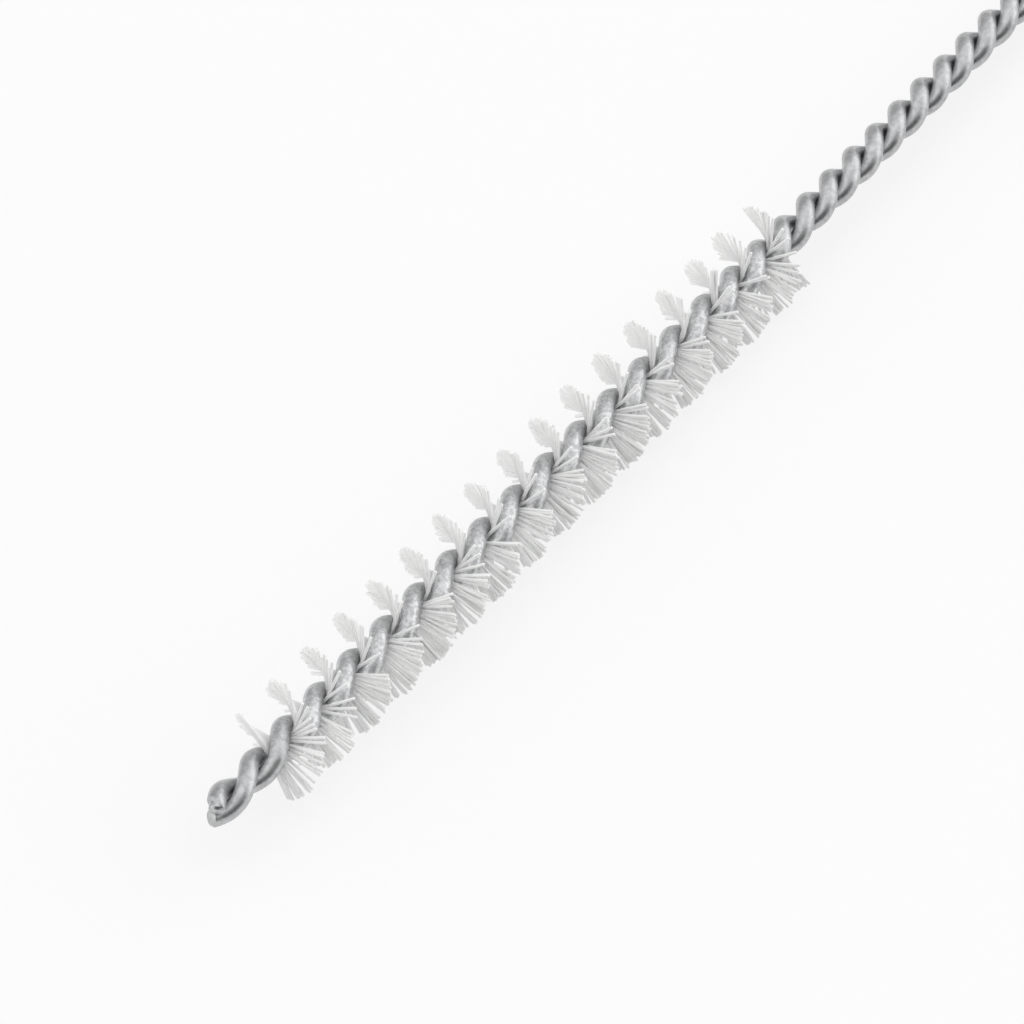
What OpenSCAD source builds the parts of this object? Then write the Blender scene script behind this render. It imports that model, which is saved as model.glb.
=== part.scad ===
// Instrument cleaning brush. One wire is folded into a hanging loop, its two legs are twisted
// together to the left, and straight nylon filaments are held across the axis between them.
// It lies on z = 0 as it comes to rest: on its last bristles, the end of the stem and the loop.
// The cut tip points to -X, the loop to +X, and the origin is under the middle of the brush.
// Along the brush, x is counted from the first cut end until the finished shape is laid down.

/* [Wire] */
// Diameter of the wire
wire_d = 1.08; // [0.9:0.02:1.2]
// Gap between the bare strands, which touch on the real brush
strand_gap = 0.02; // [0.02:0.01:0.05]
// Length of one full turn of the strands in front of the bristles
tip_lay = 5.9; // [5.5:0.1:7]
// Length of one full turn among the bristles
brush_lay = 6.28; // [5.8:0.04:7.2]
// Length of one full turn along the bare stem
stem_lay = 4.72; // [4.4:0.04:6]
// Bare length in front of the first filament
tip_length = 5.65; // [5:0.05:10]
// How far the second cut end stands behind the first
end_stagger = 0.2; // [0.1:0.1:1.5]
// Bevel around each cut end
end_bevel = 0.12; // [0.05:0.01:0.25]
// Bare length from the last filament to the end of the twist
stem_length = 83.9; // [60:0.1:100]

/* [Loop] */
// Inner diameter of the hanging loop
loop_d = 10; // [7:0.5:16]
// Inner bend radius where each leg turns out of the stem
neck_bend_r = 3.5; // [2:0.5:6]

/* [Bristles] */
// Diameter over the filament ends
brush_d = 6; // [4.6:0.1:9]
// Length of the bristled part
bristle_length = 49.4; // [40:0.2:60]
// Number of tufts, each about half a turn of the twist
tufts = 16; // [12:1:20]
// Diameter of one filament
filament_d = 0.18; // [0.12:0.01:0.22]
// Clearance between neighbouring filaments
filament_gap = 0.02; // [0.01:0.01:0.06]
// Clearance between a filament and each strand
strand_fit = 0.01; // [0.01:0.01:0.03]
// Largest difference in reach between trimmed filament ends
trim_scatter = 0.14; // [0:0.02:0.3]

/* [Hidden] */
wire_r = wire_d / 2;
wire_sides = 8;
rings_per_turn = 11;

// Places along the brush
bristle_end_x = tip_length + bristle_length;
twist_end_x = bristle_end_x + stem_length;

// The lay changes gradually around these places
tip_change_x = tip_length + 2;
tip_change_span = 3;
stem_change_x = bristle_end_x - 2.6;
stem_change_span = 11;
loop_change_span = 4;
loop_change_x = twist_end_x - loop_change_span / 2;

// Distance of a strand's centre from the axis, bare and with filaments between the strands
bare_offset = (wire_d + strand_gap) / 2;
held_offset = (wire_d + filament_d) / 2 + strand_fit;
spread_run = 2.5;

// The loop is a circle that meets each leg in a smaller bend the other way
loop_r = loop_d / 2 + wire_r;
neck_r = neck_bend_r + wire_r;
neck_angle = acos((neck_r + bare_offset) / (neck_r + loop_r));
loop_centre_x = twist_end_x + (neck_r + loop_r) * sin(neck_angle);
loop_end_x = loop_centre_x + loop_r;
total_length = loop_end_x + wire_r;
bend_step = 9;

// Filaments of one tuft
tuft_length = bristle_length / tufts;
per_tuft = floor(tuft_length / (filament_d + filament_gap));
filament_pitch = tuft_length / per_tuft;

// The brush leans on its last filaments and on the last place where one strand stands over the
// other, or on the far side of the loop where that comes first. Then it is rolled about its axis
// until the loop touches too.
brush_r = brush_d / 2;
bundle_r = bare_offset + wire_r;
stem_rest_x = twist_end_x - sqrt(loop_change_span * stem_lay / 2);
rest_tilt = min(atan((brush_r - bundle_r) / (stem_rest_x - bristle_end_x)),
                atan((brush_r - wire_r) / (loop_end_x - bristle_end_x)));
rest_height = bristle_end_x * sin(rest_tilt) + brush_r * cos(rest_tilt);
loop_drop = rest_height - loop_centre_x * sin(rest_tilt) - wire_r;
rest_roll = asin(sqrt(max(0, pow(loop_drop / loop_r, 2) - pow(sin(rest_tilt), 2))) / cos(rest_tilt));

function tuft_name(i) = str("tuft_", i < 10 ? "0" : "", i);

// Length beyond a change at mid, counted in gradually over span
function eased(x, mid, span) =
    x <= mid - span / 2 ? 0 : x >= mid + span / 2 ? x - mid : pow(x - mid + span / 2, 2) / (2 * span);

// Turns of the twist from the first cut end
function turns(x) =
    x / tip_lay
    + (1 / brush_lay - 1 / tip_lay) * eased(x, tip_change_x, tip_change_span)
    + (1 / stem_lay - 1 / brush_lay) * eased(x, stem_change_x, stem_change_span)
    - eased(x, loop_change_x, loop_change_span) / stem_lay;

// Angle of the first strand about the axis, from +Y towards +Z. The legs reach the loop side by side.
function strand_angle(x) = 360 * (turns(twist_end_x) - turns(x));

function smooth(t) = t <= 0 ? 0 : t >= 1 ? 1 : t * t * (3 - 2 * t);
function spread(x) =
    smooth((x - tip_length + spread_run) / (spread_run - filament_d))
    * smooth((bristle_end_x + spread_run - x) / (spread_run - filament_d));
function strand_offset(x) = bare_offset + (held_offset - bare_offset) * spread(x);

// The wire's route, as pairs of a point and the outward direction that is square to the wire there
function leg_place(x, side) =
    let (out = side * [0, cos(strand_angle(x)), sin(strand_angle(x))])
    [[x, 0, 0] + strand_offset(x) * out, out];
function leg(start_x, side) =
    let (count = ceil((twist_end_x - start_x) * rings_per_turn / stem_lay),
         step = (twist_end_x - start_x) / count)
    concat([leg_place(start_x, side), leg_place(start_x + end_bevel, side)],
           [for (i = [1 : count]) leg_place(start_x + i * step, side)]);
function neck_place(a, side) =
    [[twist_end_x + neck_r * sin(a), side * (bare_offset + neck_r * (1 - cos(a))), 0],
     [-sin(a), side * cos(a), 0]];
function loop_place(a) =
    [[loop_centre_x - loop_r * sin(a), loop_r * cos(a), 0], [-sin(a), cos(a), 0]];

function reversed(list) = [for (i = [len(list) - 1 : -1 : 0]) list[i]];
function neck(side) =
    let (count = ceil(neck_angle / bend_step))
    [for (i = [1 : count]) neck_place(i * neck_angle / count, side)];
function round_loop() =
    let (sweep = 180 + 2 * neck_angle, count = ceil(sweep / bend_step))
    [for (i = [1 : count - 1]) loop_place(neck_angle - i * sweep / count)];
function route() =
    concat(leg(0, 1), neck(1), round_loop(), reversed(neck(-1)), reversed(leg(end_stagger, -1)));

function unit(v) = v / norm(v);

// One ring of the wire's surface at place i of the route, narrower at the two cut ends
function ring(places, i) =
    let (last = len(places) - 1,
         out = places[i][1],
         along = places[min(i + 1, last)][0] - places[max(i - 1, 0)][0],
         across = unit(cross(along, out)),
         r = i == 0 || i == last ? wire_r - end_bevel : wire_r)
    [for (k = [0 : wire_sides - 1])
        let (a = 360 * k / wire_sides)
        places[i][0] + r * (cos(a) * out + sin(a) * across)];

// Sets the finished shape down on z = 0 with the origin under its middle
module laid() {
    translate([-total_length / 2, 0, rest_height]) rotate([rest_roll, rest_tilt, 0]) children();
}

module twisted_wire() {
    places = route();
    rings = len(places);
    points = [for (i = [0 : rings - 1]) each ring(places, i)];
    sides = [for (i = [0 : rings - 2], k = [0 : wire_sides - 1])
        let (a = i * wire_sides + k, b = i * wire_sides + (k + 1) % wire_sides)
        each [[a, b + wire_sides, b], [a, a + wire_sides, b + wire_sides]]];
    first_end = [for (k = [0 : wire_sides - 1]) k];
    last_end = [for (k = [wire_sides - 1 : -1 : 0]) (rings - 1) * wire_sides + k];
    color("silver") laid() polyhedron(points, concat([first_end, last_end], sides));
}

// Reach of a trimmed filament end, which differs from one end to the next
function reach(n) = brush_r - trim_scatter * (0.5 + 0.5 * sin(n * 137.5));

// One straight filament through the axis, square to the line between the strands
module filament(n) {
    x = tip_length + (n + 0.5) * filament_pitch;
    translate([x, 0, 0]) rotate([strand_angle(x), 0, 0]) translate([0, 0, -reach(2 * n)])
        cylinder(d = filament_d, h = reach(2 * n) + reach(2 * n + 1), $fn = 24);
}

module tuft(i) {
    color("whitesmoke") laid() for (n = [(i - 1) * per_tuft : i * per_tuft - 1]) filament(n);
}

twisted_wire();
for (i = [1 : tufts]) tuft(i);
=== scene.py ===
"""The looks of the instrument cleaning brush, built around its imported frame.

One smooth wire replaces the faceted one, and dense nylon bristles replace the plain filaments.
The shape is worked out in millimetres along the brush, with x counted from the first cut end, and
laid() sets it down in the frame, in metres: the cut tip at -X, the loop at +X and the floor at z = 0.
"""

import math
import random

import bpy
import numpy as np
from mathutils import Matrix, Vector


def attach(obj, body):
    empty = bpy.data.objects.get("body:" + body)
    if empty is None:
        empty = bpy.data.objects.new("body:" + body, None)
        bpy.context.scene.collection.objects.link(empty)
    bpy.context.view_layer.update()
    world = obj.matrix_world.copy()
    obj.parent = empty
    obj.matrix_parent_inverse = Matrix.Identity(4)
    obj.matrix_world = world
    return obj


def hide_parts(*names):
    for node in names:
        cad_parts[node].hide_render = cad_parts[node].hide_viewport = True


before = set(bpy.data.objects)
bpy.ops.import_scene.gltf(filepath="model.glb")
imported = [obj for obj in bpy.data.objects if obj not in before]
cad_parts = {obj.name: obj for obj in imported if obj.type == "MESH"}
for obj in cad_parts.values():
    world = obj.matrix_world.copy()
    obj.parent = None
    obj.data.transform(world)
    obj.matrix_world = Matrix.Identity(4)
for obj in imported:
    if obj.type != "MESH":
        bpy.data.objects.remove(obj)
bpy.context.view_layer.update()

MM = 0.001
SEED = 7

# The wire, as in the part's source
WIRE_D = 1.08
STRAND_GAP = 0.02
TIP_LAY = 5.9
BRUSH_LAY = 6.28
STEM_LAY = 4.72
TIP_LENGTH = 5.65
END_STAGGER = 0.2
END_BEVEL = 0.12
STEM_LENGTH = 83.9
WIRE_R = WIRE_D / 2

# The hanging loop
LOOP_D = 10.0
NECK_BEND_R = 3.5

# The bristles, as in the part's source but with more scatter in their trim
BRUSH_D = 6.0
BRISTLE_LENGTH = 49.4
TUFTS = 16
FILAMENT_D = 0.18
STRAND_FIT = 0.01
TRIM_SCATTER = 0.2

# Places along the brush, and where the lay changes
BRISTLE_END_X = TIP_LENGTH + BRISTLE_LENGTH
TWIST_END_X = BRISTLE_END_X + STEM_LENGTH
TIP_CHANGE_X, TIP_CHANGE_SPAN = TIP_LENGTH + 2, 3
STEM_CHANGE_X, STEM_CHANGE_SPAN = BRISTLE_END_X - 2.6, 11
LOOP_CHANGE_SPAN = 4
LOOP_CHANGE_X = TWIST_END_X - LOOP_CHANGE_SPAN / 2

# Distance of a strand's centre from the axis, bare and with filaments between the strands
BARE_OFFSET = (WIRE_D + STRAND_GAP) / 2
HELD_OFFSET = (WIRE_D + FILAMENT_D) / 2 + STRAND_FIT

# The first filaments push the strands apart within a shorter run than the last ones
FIRST_SPREAD_RUN, LAST_SPREAD_RUN = 0.8, 2.5

# The cutter has pressed in the end of the first strand, up to a slanted crease
CREASE_X, CREASE_SLANT = 0.33, 0.36
CREASE_BAND, CREASE_DEPTH = 0.12, 0.14

# The loop is a circle that meets each leg in a smaller bend the other way
LOOP_R = LOOP_D / 2 + WIRE_R
NECK_R = NECK_BEND_R + WIRE_R
NECK_ANGLE = math.acos((NECK_R + BARE_OFFSET) / (NECK_R + LOOP_R))
LOOP_CENTRE_X = TWIST_END_X + (NECK_R + LOOP_R) * math.sin(NECK_ANGLE)
LOOP_END_X = LOOP_CENTRE_X + LOOP_R
TOTAL_LENGTH = LOOP_END_X + WIRE_R

# The brush lies on its last bristles, on the end of the stem and on one side of the loop
BUNDLE_R = BARE_OFFSET + WIRE_R
STEM_REST_X = TWIST_END_X - math.sqrt(LOOP_CHANGE_SPAN * STEM_LAY / 2)
REST_TILT = math.atan((BRUSH_D / 2 - BUNDLE_R) / (STEM_REST_X - BRISTLE_END_X))
REST_HEIGHT = STEM_REST_X * math.sin(REST_TILT) + BUNDLE_R * math.cos(REST_TILT)
LOOP_DROP = REST_HEIGHT - LOOP_CENTRE_X * math.sin(REST_TILT) - WIRE_R
REST_ROLL = math.asin(
    math.sqrt((LOOP_DROP / LOOP_R) ** 2 - math.sin(REST_TILT) ** 2) / math.cos(REST_TILT))

# How finely the pieces are built: the wire's rings stand closest together near its cut ends
WIRE_SIDES = 28
WIRE_STEP = 0.14
LOOP_STEP = 0.3
END_STEP, FINE_LENGTH = 0.03, 1.3
FILAMENT_SIDES = 8

# Edges that turn by more than this are shaded as sharp
SHARP_ANGLE = math.radians(50)


def laid(points):
    """Millimetres along the brush to metres in the frame."""
    x, flat_y, flat_z = np.asarray(points, float).T
    y = flat_y * math.cos(REST_ROLL) - flat_z * math.sin(REST_ROLL)
    z = flat_y * math.sin(REST_ROLL) + flat_z * math.cos(REST_ROLL)
    c, s = math.cos(REST_TILT), math.sin(REST_TILT)
    return np.stack([x * c + z * s - TOTAL_LENGTH / 2, y, z * c - x * s + REST_HEIGHT], axis=1) * MM


def eased(x, mid, span):
    """Length beyond a change at mid, counted in gradually over span."""
    ramp = np.clip(x - mid + span / 2, 0, span) ** 2 / (2 * span)
    return np.where(x >= mid + span / 2, x - mid, ramp)


def turns(x):
    """Turns of the twist from the first cut end."""
    return (x / TIP_LAY
            + (1 / BRUSH_LAY - 1 / TIP_LAY) * eased(x, TIP_CHANGE_X, TIP_CHANGE_SPAN)
            + (1 / STEM_LAY - 1 / BRUSH_LAY) * eased(x, STEM_CHANGE_X, STEM_CHANGE_SPAN)
            - eased(x, LOOP_CHANGE_X, LOOP_CHANGE_SPAN) / STEM_LAY)


def strand_angle(x):
    """Angle of the first strand about the axis, in radians from +Y towards +Z."""
    return 2 * math.pi * (turns(TWIST_END_X) - turns(x))


def smooth(t):
    """Rises gently from 0 to 1 as t does, and stays level outside that range."""
    t = np.clip(t, 0, 1)
    return t * t * (3 - 2 * t)


def strand_offset(x):
    """Distance of a strand's centre from the axis, which the filaments widen."""
    opening = smooth((x - TIP_LENGTH + FIRST_SPREAD_RUN) / (FIRST_SPREAD_RUN - FILAMENT_D))
    closing = smooth((BRISTLE_END_X + LAST_SPREAD_RUN - x) / (LAST_SPREAD_RUN - FILAMENT_D))
    return BARE_OFFSET + (HELD_OFFSET - BARE_OFFSET) * opening * closing


def leg_route(start_x, side):
    """Points and outward directions of one leg, from its cut end to the end of the twist."""
    fine_end_x = start_x + FINE_LENGTH
    fine = np.linspace(start_x, fine_end_x, math.ceil(FINE_LENGTH / END_STEP) + 1)
    count = math.ceil((TWIST_END_X - fine_end_x) / WIRE_STEP)
    x = np.concatenate([fine[:-1], np.linspace(fine_end_x, TWIST_END_X, count + 1)])
    angle = strand_angle(x)
    out = side * np.stack([np.zeros_like(x), np.cos(angle), np.sin(angle)], axis=1)
    along = np.stack([x, np.zeros_like(x), np.zeros_like(x)], axis=1)
    return along + strand_offset(x)[:, None] * out, out


def loop_route():
    """Points and outward directions of both necks and the loop, from the first leg to the second."""
    neck_count = math.ceil(NECK_R * NECK_ANGLE / LOOP_STEP)
    neck = np.linspace(0, NECK_ANGLE, neck_count + 1)[1:]
    zero = np.zeros_like(neck)
    neck_points = np.stack(
        [TWIST_END_X + NECK_R * np.sin(neck), BARE_OFFSET + NECK_R * (1 - np.cos(neck)), zero], axis=1)
    neck_out = np.stack([-np.sin(neck), np.cos(neck), zero], axis=1)
    sweep = math.pi + 2 * NECK_ANGLE
    loop = NECK_ANGLE - np.linspace(0, sweep, math.ceil(LOOP_R * sweep / LOOP_STEP) + 1)[1:-1]
    loop_out = np.stack([-np.sin(loop), np.cos(loop), np.zeros_like(loop)], axis=1)
    loop_points = np.array([LOOP_CENTRE_X, 0, 0]) + LOOP_R * loop_out
    mirror = np.array([1, -1, 1])
    points = np.concatenate([neck_points, loop_points, neck_points[::-1] * mirror])
    return points, np.concatenate([neck_out, loop_out, neck_out[::-1] * mirror])


def corner_angles(sides):
    """Angles of a ring's corners about the tube, from the outward direction."""
    return np.linspace(0, 2 * math.pi, sides, endpoint=False)


def tube(points, out, radii, sides):
    """Vertices and faces of a closed tube along points, with its rings square to it.

    There is a radius for each ring, or for each corner of each ring.
    """
    along = np.gradient(points, axis=0)
    across = np.cross(along, out)
    across /= np.linalg.norm(across, axis=1)[:, None]
    a = corner_angles(sides)
    around = np.cos(a)[None, :, None] * out[:, None] + np.sin(a)[None, :, None] * across[:, None]
    rings = points[:, None] + radii.reshape(len(points), -1, 1) * around
    faces = []
    for i in range(len(points) - 1):
        for k in range(sides):
            p, q = i * sides + k, i * sides + (k + 1) % sides
            faces.append((p, q, q + sides, p + sides))
    faces.append(tuple(reversed(range(sides))))
    faces.append(tuple(range((len(points) - 1) * sides, len(points) * sides)))
    return rings.reshape(-1, 3), faces


def joined(tubes):
    """Vertices and faces of several tubes as one mesh."""
    vertices, faces, start = [], [], 0
    for part, part_faces in tubes:
        vertices.append(part)
        faces += [tuple(start + k for k in face) for face in part_faces]
        start += len(part)
    return np.concatenate(vertices), faces


def new_piece(name, vertices, faces, material):
    """A mesh object at the origin, from millimetres along the brush."""
    mesh = bpy.data.meshes.new(name)
    mesh.from_pydata(laid(vertices).tolist(), [], faces)
    mesh.validate()
    mesh.materials.append(material)
    mesh.shade_smooth()
    mesh.set_sharp_from_angle(angle=SHARP_ANGLE)
    piece = bpy.data.objects.new(name, mesh)
    bpy.context.collection.objects.link(piece)
    return piece


def bevelled(x):
    """Radii of a strand's rings at the distances x from its cut end."""
    return np.repeat(WIRE_R - np.clip(END_BEVEL - x, 0, None)[:, None], WIRE_SIDES, axis=1)


def pressed_in(x):
    """How much the cutter has taken off the first strand's radii, in front of the slanted crease."""
    crease = CREASE_X - CREASE_SLANT * np.sin(corner_angles(WIRE_SIDES))
    return CREASE_DEPTH * smooth((crease[None, :] - x[:, None]) / CREASE_BAND)


def make_wire(material):
    """The folded and twisted wire, as one tube from cut end to cut end."""
    first, first_out = leg_route(0, 1)
    second, second_out = leg_route(END_STAGGER, -1)
    bend, bend_out = loop_route()
    points = np.concatenate([first, bend, second[::-1]])
    out = np.concatenate([first_out, bend_out, second_out[::-1]])
    first_radii = bevelled(first[:, 0]) - pressed_in(first[:, 0])
    bend_radii = np.full((len(bend), WIRE_SIDES), WIRE_R)
    second_radii = bevelled(second[:, 0] - END_STAGGER)
    radii = np.concatenate([first_radii, bend_radii, second_radii[::-1]])
    vertices, faces = tube(points, out, radii, WIRE_SIDES)
    wire = new_piece("wire", vertices, faces, material)
    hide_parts("twisted_wire")
    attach(wire, "root")


# How the bristles gather: a close bunch in each half turn, and lone filaments between the bunches.
# The middle of a bunch points at an angle from +Y towards +Z, give or take a drift. Its filaments
# spread about that angle with a blurred edge, most of them in a dense part and a few behind it.
BUNCH_ANGLE = math.radians(28.0)
BUNCH_DRIFT = math.radians(3.0)
BUNCH_SPREAD = math.radians(118.0)
BUNCH_EDGE = math.radians(4.0)
BUNCH_SIZE = (40, 44)
DENSE_COUNT, DENSE_SPREAD = 0.93, 0.9
LONE_COUNT = 11

# What differs in the first and last bunches, by their number from the tip: how far they are turned,
# and their shares of the usual size, spread and number of lone filaments
EXTRA_TURNS = {0: math.radians(17.0), 1: math.radians(7.0), 2: math.radians(1.0)}
SIZE_SHARES = {0: 0.4, 1: 0.6, 2: 0.8, 14: 0.7, 15: 0.4}
SPREAD_SHARES = {0: 0.25, 1: 0.6}
LONE_SHARES = {0: 2.2, 1: 1.4}

# Where the filaments start, how many half turns beyond either end the middle of a bunch may lie, and
# how finely half turns are matched with places along the brush
FIRST_BRISTLE_X = TIP_LENGTH - 0.2
BUNCH_MARGIN = 0.3
PLACE_STEPS = 6000

# How the bristles stray from a perfect spiral: in clumps and alone, and most in the lower halves
CLUMP = 3
CLUMP_LEAN, CLUMP_TURN = math.radians(0.6), math.radians(0.8)
LONE_LEAN, LONE_TURN = math.radians(0.4), math.radians(0.5)
LOWER_STRAY = 3.4
LAYERS, LAYER_OFFSET = 3, 0.07
SLIP = 0.05

# The upper halves are combed towards one direction, and most of all near the tip
COMB_ANGLE = math.radians(26.0)
COMB = 0.1
FIRST_COMB, FIRST_COMB_END_X = 0.6, TIP_LENGTH + 4

# The bevel around a filament's cut ends, and the places of a half's rings as shares of its reach
CUT_BEVEL = 0.04
REACH_STEPS = np.array([0.0, 0.12, 0.25, 0.6, 1.0])


def bristle_places(chance):
    """Places of the filaments along the brush, in order."""
    x = np.linspace(FIRST_BRISTLE_X, BRISTLE_END_X - FILAMENT_D / 2, PLACE_STEPS)
    half_turns = (BUNCH_ANGLE - math.pi / 2 - strand_angle(x)) / math.pi
    first = math.ceil(half_turns[0] - BUNCH_MARGIN)
    last = math.floor(half_turns[-1] + BUNCH_MARGIN)
    wanted = []
    for k in range(first, last + 1):
        size = round(chance.randint(*BUNCH_SIZE) * SIZE_SHARES.get(k - first, 1))
        centre = EXTRA_TURNS.get(k - first, 0) + chance.gauss(0, BUNCH_DRIFT)
        spread = BUNCH_SPREAD * SPREAD_SHARES.get(k - first, 1)
        for n in range(size):
            across = np.interp((n + 0.5) / size, (0, DENSE_COUNT, 1), (0, DENSE_SPREAD, 1))
            turned = centre + (across - 0.5) * spread + chance.gauss(0, BUNCH_EDGE)
            wanted.append(k - turned / math.pi)
        lone = round(LONE_COUNT * LONE_SHARES.get(k - first, 1))
        wanted += [k + (n + chance.random()) / lone - 0.5 for n in range(lone)]
    kept = sorted(place for place in wanted if half_turns[0] <= place <= half_turns[-1])
    return np.interp(kept, half_turns, x)


def off_comb(angle):
    """Angle from the combed direction to a filament's half, which points a quarter turn beyond angle."""
    return math.remainder(angle + math.pi / 2 - COMB_ANGLE, 2 * math.pi)


def combed(x, off):
    """Turn that combing gives an upper half that is off the combed direction."""
    eased_in = float(smooth((x - TIP_LENGTH) / (FIRST_COMB_END_X - TIP_LENGTH)))
    return (FIRST_COMB + (COMB - FIRST_COMB) * eased_in) * math.sin(2 * off) / 2


def bristle_half(x, angle, layer, reach, lean, side):
    """Points of one half of a filament, from the axis to its cut end.

    Between the strands it moves layer off the axis. Beyond them it leans along the brush and sideways.
    """
    shift = layer + math.tan(side) * (reach - WIRE_R)
    r = reach / math.hypot(1, shift / reach) * REACH_STEPS
    direction = np.array([0, -math.sin(angle), math.cos(angle)])
    sideways = np.array([0, math.cos(angle), math.sin(angle)])
    points = np.array([x, 0, 0]) + r[:, None] * direction
    points += (layer * smooth(r / WIRE_R))[:, None] * sideways
    free = np.clip(r - WIRE_R, 0, None)
    points[:, 0] += math.tan(lean) * free
    points += (math.tan(side) * free)[:, None] * sideways
    return points


def filament_route(x, slip, layer, clump, chance):
    """Points of a filament from one cut end to the other, which strays as its clump does."""
    angle = float(strand_angle(x))
    halves = []
    for turned, (clump_lean, clump_turn) in zip((0, math.pi), clump):
        reach = BRUSH_D / 2 - TRIM_SCATTER * chance.random()
        off = off_comb(angle + turned)
        upper = abs(off) < math.pi / 2
        stray = 1 if upper else LOWER_STRAY
        lean = stray * clump_lean + chance.gauss(0, LONE_LEAN)
        side = stray * clump_turn + chance.gauss(0, LONE_TURN) + (combed(x, off) if upper else 0)
        sign = -1 if turned else 1
        halves.append(bristle_half(x + slip, angle + turned, sign * layer, reach, lean, side))
    return np.concatenate([halves[0][::-1], halves[1][1:]])


def filament_tube(points):
    """Vertices and faces of a filament along points, with a bevel at both cut ends."""
    ends = points[[1, -1]] - points[[0, -2]]
    inward = np.array([CUT_BEVEL, -CUT_BEVEL])[:, None] * ends / np.linalg.norm(ends, axis=1)[:, None]
    points = np.insert(points, [1, len(points) - 1], points[[0, -1]] + inward, axis=0)
    radii = np.full(len(points), FILAMENT_D / 2)
    radii[[0, -1]] = FILAMENT_D / 2 - CUT_BEVEL
    out = np.tile(np.array([1.0, 0, 0]), (len(points), 1))
    return tube(points, out, radii, FILAMENT_SIDES)


def make_bristles(material, chance):
    """Every tuft: the filaments that cross the axis between the strands, in its stretch of the brush."""
    places = bristle_places(chance)
    tuft_of = np.clip((places - TIP_LENGTH) * TUFTS / BRISTLE_LENGTH, 0, TUFTS - 1).astype(int)
    clump = [(0, 0), (0, 0)]
    for number in range(TUFTS):
        tubes = []
        for n in np.nonzero(tuft_of == number)[0]:
            slip = chance.gauss(0, SLIP)
            if n % CLUMP == 0:
                clump = [(chance.gauss(0, CLUMP_LEAN), chance.gauss(0, CLUMP_TURN)) for _ in range(2)]
            layer = LAYER_OFFSET * (n % LAYERS - 1)
            tubes.append(filament_tube(filament_route(places[n], slip, layer, clump, chance)))
        vertices, faces = joined(tubes)
        name = f"{number + 1:02d}"
        tuft = new_piece("bristles_" + name, vertices, faces, material)
        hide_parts("tuft_" + name)
        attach(tuft, "root")


def new_material(name):
    """A material, and its nodes, links and shader."""
    material = bpy.data.materials.new(name)
    material.use_nodes = True
    nodes = material.node_tree.nodes
    return material, nodes, material.node_tree.links, nodes["Principled BSDF"]


# Most of a noise texture's values lie between these
NOISE_LOW, NOISE_HIGH = 0.3, 0.7

# The steel's marks: their sizes and the depth of its grain in metres, and how crisp its wear and painted
# glints are
MOTTLE_SIZE = 0.4 * MM
WEAR_AND_GLINT_SIZE, WEAR_AND_GLINT_CRISPNESS = 0.24 * MM, 0.75
GRAIN_SIZE, GRAIN_DEPTH = 0.09 * MM, 0.02 * MM

# The steel's colours where it is clean and where it is worn, and the range of its roughness. Each end of
# a ramp is a noise value and its colour. The worn colour's darker pits and scratches are real wear, and
# its bright specks are painted reflection of the bristles.
CLEAN_STEEL = ((0.35, (0.37, 0.373, 0.38)), (0.65, (0.53, 0.532, 0.536)))
WORN_STEEL_AND_PAINTED_GLINTS = ((0.42, (0.45, 0.455, 0.465)), (0.58, (0.69, 0.695, 0.70)))
STEEL_ROUGHNESS = (0.29, 0.39)

# How far outside the bristles the wear and its painted glints set in, and how far inside them they are
# full
BRISTLE_ZONE_START, BRISTLE_ZONE_FULL = 1, 3

# The share of the worn colour, with its painted glints, and the strength of the grain, on the bare wire
# and among the bristles
WEAR_AND_GLINT_SHARES = (0.4, 1.0)
GRAIN_STRENGTHS = (0.2, 0.3)

# The nylon: the size of its clouds in metres, the ends of their colour ramp, and its gloss
CLOUD_SIZE = 0.8 * MM
NYLON_COLOURS = ((0.3, (0.95, 0.95, 0.945)), (0.7, (0.98, 0.98, 0.975)))
NYLON_ROUGHNESS = (0.38, 0.5)
NYLON_IOR = 1.53


def add_noise(nodes, links, coordinates, size, detail):
    """Solid noise whose features are about size metres across."""
    noise = nodes.new("ShaderNodeTexNoise")
    noise.inputs["Scale"].default_value = 1 / size
    noise.inputs["Detail"].default_value = detail
    links.new(coordinates.outputs["Object"], noise.inputs["Vector"])
    return noise


def add_range(nodes, links, noise, low, high):
    """Spreads a noise over the range low to high."""
    mapped = nodes.new("ShaderNodeMapRange")
    mapped.inputs["From Min"].default_value = NOISE_LOW
    mapped.inputs["From Max"].default_value = NOISE_HIGH
    mapped.inputs["To Min"].default_value = low
    mapped.inputs["To Max"].default_value = high
    links.new(noise.outputs["Fac"], mapped.inputs["Value"])
    return mapped.outputs["Result"]


def add_ramp(nodes, links, noise, ends):
    """Colours a noise from one end of a ramp to the other, each a noise value and its colour."""
    ramp = nodes.new("ShaderNodeValToRGB")
    for element, (value, colour) in zip(ramp.color_ramp.elements, ends):
        element.position = value
        element.color = (*colour, 1)
    links.new(noise.outputs["Fac"], ramp.inputs["Fac"])
    return ramp.outputs["Color"]


def add_bristle_zone_share(nodes, links, coordinates, bare, among_bristles):
    """A value along the wire: one for the bare tip and stem, another among the bristles."""
    apart = nodes.new("ShaderNodeSeparateXYZ")
    links.new(coordinates.outputs["Object"], apart.inputs["Vector"])
    least = nodes.new("ShaderNodeMath")
    least.operation = "MINIMUM"
    ends = ((TIP_LENGTH - BRISTLE_ZONE_START, TIP_LENGTH + BRISTLE_ZONE_FULL),
            (BRISTLE_END_X + BRISTLE_ZONE_START, BRISTLE_END_X - BRISTLE_ZONE_FULL))
    for (bare_x, worn_x), value in zip(ends, least.inputs):
        share = nodes.new("ShaderNodeMapRange")
        share.interpolation_type = "SMOOTHSTEP"
        share.inputs["From Min"].default_value = (bare_x - TOTAL_LENGTH / 2) * MM
        share.inputs["From Max"].default_value = (worn_x - TOTAL_LENGTH / 2) * MM
        share.inputs["To Min"].default_value = bare
        share.inputs["To Max"].default_value = among_bristles
        links.new(apart.outputs["X"], share.inputs["Value"])
        links.new(share.outputs["Result"], value)
    return least.outputs["Value"]


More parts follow.
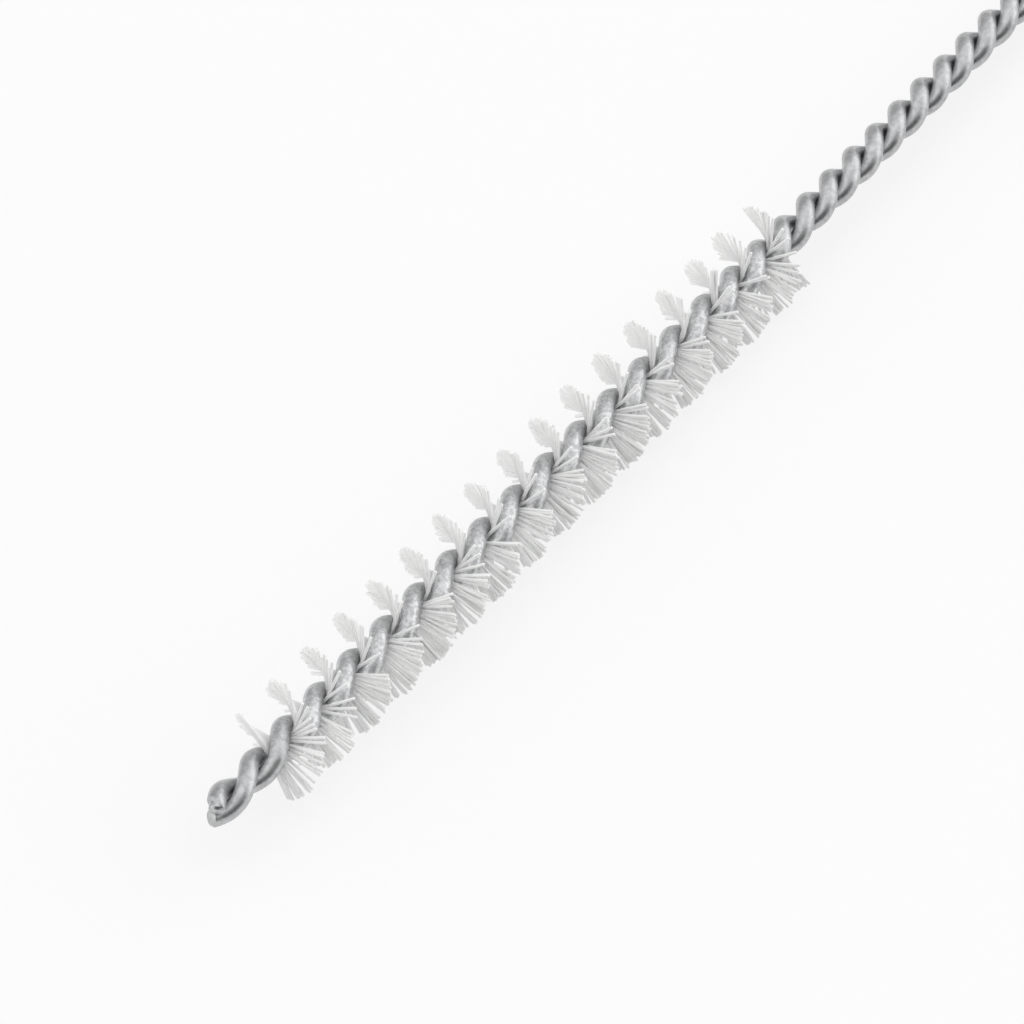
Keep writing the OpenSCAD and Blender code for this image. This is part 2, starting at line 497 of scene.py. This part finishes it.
def steel_material():
    """Satin stainless wire, softly mottled, and worn most where the bristles stand, with painted
    reflection of the bristles as bright specks in its worn colour.
    """
    material, nodes, links, shader = new_material("satin_steel")
    coordinates = nodes.new("ShaderNodeTexCoord")
    mottle = add_noise(nodes, links, coordinates, MOTTLE_SIZE, detail=5)
    grain = add_noise(nodes, links, coordinates, GRAIN_SIZE, detail=3)
    wear_and_glints = add_noise(nodes, links, coordinates, WEAR_AND_GLINT_SIZE, detail=6)
    wear_and_glints.inputs["Roughness"].default_value = WEAR_AND_GLINT_CRISPNESS
    # The worn colour is real wear in its darker pits and scratches, and painted reflection of the
    # bristles in its bright specks.
    colour = nodes.new("ShaderNodeMixRGB")
    links.new(add_bristle_zone_share(nodes, links, coordinates, *WEAR_AND_GLINT_SHARES), colour.inputs["Fac"])
    links.new(add_ramp(nodes, links, mottle, CLEAN_STEEL), colour.inputs["Color1"])
    links.new(add_ramp(nodes, links, wear_and_glints, WORN_STEEL_AND_PAINTED_GLINTS), colour.inputs["Color2"])
    links.new(colour.outputs["Color"], shader.inputs["Base Color"])
    links.new(add_range(nodes, links, grain, *STEEL_ROUGHNESS), shader.inputs["Roughness"])
    bump = nodes.new("ShaderNodeBump")
    links.new(add_bristle_zone_share(nodes, links, coordinates, *GRAIN_STRENGTHS), bump.inputs["Strength"])
    bump.inputs["Distance"].default_value = GRAIN_DEPTH
    links.new(grain.outputs["Fac"], bump.inputs["Height"])
    links.new(bump.outputs["Normal"], shader.inputs["Normal"])
    shader.inputs["Metallic"].default_value = 1.0
    return material


def nylon_material():
    """Off-white nylon, slightly cloudy in its colour and gloss."""
    material, nodes, links, shader = new_material("nylon")
    coordinates = nodes.new("ShaderNodeTexCoord")
    clouds = add_noise(nodes, links, coordinates, CLOUD_SIZE, detail=2)
    links.new(add_ramp(nodes, links, clouds, NYLON_COLOURS), shader.inputs["Base Color"])
    links.new(add_range(nodes, links, clouds, *NYLON_ROUGHNESS), shader.inputs["Roughness"])
    shader.inputs["IOR"].default_value = NYLON_IOR
    return material


# The photograph: where its centre meets the brush, the brush's angle in it, how far the brush tilts
# away, the distance in millimetres, and its scale at the brush
AIM_X = 28.65
IMAGE_ANGLE = math.radians(45.22)
VIEW_TILT = math.radians(36.0)
VIEW_DISTANCE = 700.0
PICTURE_PIXELS, PIXELS_PER_MM = 1024, 18.0
PICTURE_WIDTH = PICTURE_PIXELS / PIXELS_PER_MM

# The camera's sensor in millimetres, and how near and far it sees, in metres
SENSOR_WIDTH = 36.0
NEAREST, FARTHEST = 0.01, 20.0


def picture_axes():
    """Heading and pitch at which the level camera sees the brush at the photograph's angle and tilt."""
    sideways = math.cos(VIEW_TILT) * math.cos(IMAGE_ANGLE)
    heading = math.asin(sideways / math.cos(REST_TILT))
    level = math.cos(REST_TILT) * math.cos(heading)
    lean = math.atan2(math.sin(REST_TILT), level)
    pitch = lean + math.acos(math.sin(VIEW_TILT) / math.hypot(level, math.sin(REST_TILT)))
    return heading, pitch


def aim_point():
    """The place on the brush's axis that the camera and the lamp face, in metres."""
    return Vector(laid([[AIM_X, 0, 0]])[0])


def make_camera():
    """A long lens at the photograph's angle, aimed at the brush's axis."""
    heading, pitch = picture_axes()
    forward = Vector((math.cos(pitch) * math.cos(heading), math.cos(pitch) * math.sin(heading),
                      -math.sin(pitch)))
    data = bpy.data.cameras.new("camera")
    data.sensor_width = SENSOR_WIDTH
    data.lens = SENSOR_WIDTH * VIEW_DISTANCE / PICTURE_WIDTH
    data.clip_start, data.clip_end = NEAREST, FARTHEST
    camera = bpy.data.objects.new("camera", data)
    camera.location = aim_point() - forward * VIEW_DISTANCE * MM
    camera.rotation_mode = "QUATERNION"
    camera.rotation_quaternion = forward.to_track_quat("-Z", "Y")
    bpy.context.collection.objects.link(camera)
    bpy.context.scene.camera = camera


# Strength of the light tent, and the dim parts of it: a direction, the angles from it within which
# it is dimmest and beyond which it is bright, in degrees, and the share of light that is left
TENT_LEVEL = 1.2
OPEN_FRONT = {"azimuth": -132, "elevation": 12, "near": 18, "far": 60, "dim": 0.06}
GREY_BACK = {"azimuth": 55, "elevation": 10, "near": 25, "far": 65, "dim": 0.5}

# The floor reaches this far to each side, in metres. The camera, metal and glass see this share of
# it as white, and the rest of it as a lit pale surface.
FLOOR_REACH = 6.0
FLOOR_COLOUR = (0.92, 0.92, 0.92, 1)
FLOOR_ROUGHNESS = 0.9
WHITE_SHARE = 0.72


def compass(azimuth, elevation):
    """Unit direction, with azimuth counted from +X towards +Y, in degrees."""
    a, e = math.radians(azimuth), math.radians(elevation)
    return Vector((math.cos(e) * math.cos(a), math.cos(e) * math.sin(a), math.sin(e)))


def make_softbox(name, away, distance, width, height, watts):
    """A rectangular lamp that faces the aim point from the direction away, with sizes in metres."""
    data = bpy.data.lights.new(name, "AREA")
    data.shape = "RECTANGLE"
    data.size, data.size_y = width, height
    data.energy = watts
    lamp = bpy.data.objects.new(name, data)
    lamp.location = aim_point() + away * distance
    lamp.rotation_mode = "QUATERNION"
    lamp.rotation_quaternion = (-away).to_track_quat("-Z", "Y")
    bpy.context.collection.objects.link(lamp)


def add_dim_side(nodes, links, coordinates, azimuth, elevation, near, far, dim):
    """A share of light: dim within near degrees of a direction, and 1 beyond far degrees from it."""
    towards = nodes.new("ShaderNodeVectorMath")
    towards.operation = "DOT_PRODUCT"
    towards.inputs[1].default_value = compass(azimuth, elevation)
    share = nodes.new("ShaderNodeMapRange")
    share.interpolation_type = "SMOOTHSTEP"
    share.inputs["From Min"].default_value = math.cos(math.radians(far))
    share.inputs["From Max"].default_value = math.cos(math.radians(near))
    share.inputs["To Min"].default_value = 1.0
    share.inputs["To Max"].default_value = dim
    links.new(coordinates.outputs["Generated"], towards.inputs[0])
    links.new(towards.outputs["Value"], share.inputs["Value"])
    return share.outputs["Result"]


def make_world():
    """A light tent: pale all around, but greyer at its back and dim at its open front."""
    world = bpy.data.worlds.new("light_tent")
    world.use_nodes = True
    nodes, links = world.node_tree.nodes, world.node_tree.links
    coordinates = nodes.new("ShaderNodeTexCoord")
    level = nodes.new("ShaderNodeMath")
    level.operation = "MULTIPLY"
    for side, value in zip((OPEN_FRONT, GREY_BACK), level.inputs):
        links.new(add_dim_side(nodes, links, coordinates, **side), value)
    shader = nodes["Background"]
    shader.inputs["Color"].default_value = (TENT_LEVEL, TENT_LEVEL, TENT_LEVEL, 1)
    links.new(level.outputs["Value"], shader.inputs["Strength"])
    bpy.context.scene.world = world


def add_seen_share(nodes, links, share):
    """A value that is share to the camera and in metal and glass, and 0 to all other rays."""
    path = nodes.new("ShaderNodeLightPath")
    seen = path.outputs["Is Camera Ray"]
    for ray in ("Is Glossy Ray", "Is Transmission Ray"):
        either = nodes.new("ShaderNodeMath")
        either.operation = "MAXIMUM"
        links.new(seen, either.inputs[0])
        links.new(path.outputs[ray], either.inputs[1])
        seen = either.outputs["Value"]
    part = nodes.new("ShaderNodeMath")
    part.operation = "MULTIPLY"
    part.inputs[1].default_value = share
    links.new(seen, part.inputs[0])
    return part.outputs["Value"]


def floor_material():
    """A pale matt surface that is seen nearly white and keeps the brush's shadow."""
    material, nodes, links, shader = new_material("pale_floor")
    shader.inputs["Base Color"].default_value = FLOOR_COLOUR
    shader.inputs["Roughness"].default_value = FLOOR_ROUGHNESS
    shader.inputs["Specular IOR Level"].default_value = 0.0
    white = nodes.new("ShaderNodeEmission")
    mix = nodes.new("ShaderNodeMixShader")
    links.new(add_seen_share(nodes, links, WHITE_SHARE), mix.inputs["Fac"])
    links.new(shader.outputs["BSDF"], mix.inputs[1])
    links.new(white.outputs["Emission"], mix.inputs[2])
    links.new(mix.outputs["Shader"], nodes["Material Output"].inputs["Surface"])
    return material


def make_floor(material):
    """A plain floor at z = 0."""
    reach = FLOOR_REACH
    corners = [(-reach, -reach, 0), (reach, -reach, 0), (reach, reach, 0), (-reach, reach, 0)]
    mesh = bpy.data.meshes.new("floor")
    mesh.from_pydata(corners, [], [(0, 1, 2, 3)])
    mesh.materials.append(material)
    floor = bpy.data.objects.new("floor", mesh)
    bpy.context.collection.objects.link(floor)


make_camera()
make_world()
make_floor(floor_material())
make_softbox("key", compass(-32, 25), distance=0.6, width=0.9, height=0.5, watts=0.5)
make_wire(steel_material())
make_bristles(nylon_material(), random.Random(SEED))

bpy.context.scene.view_settings.view_transform = "Standard"
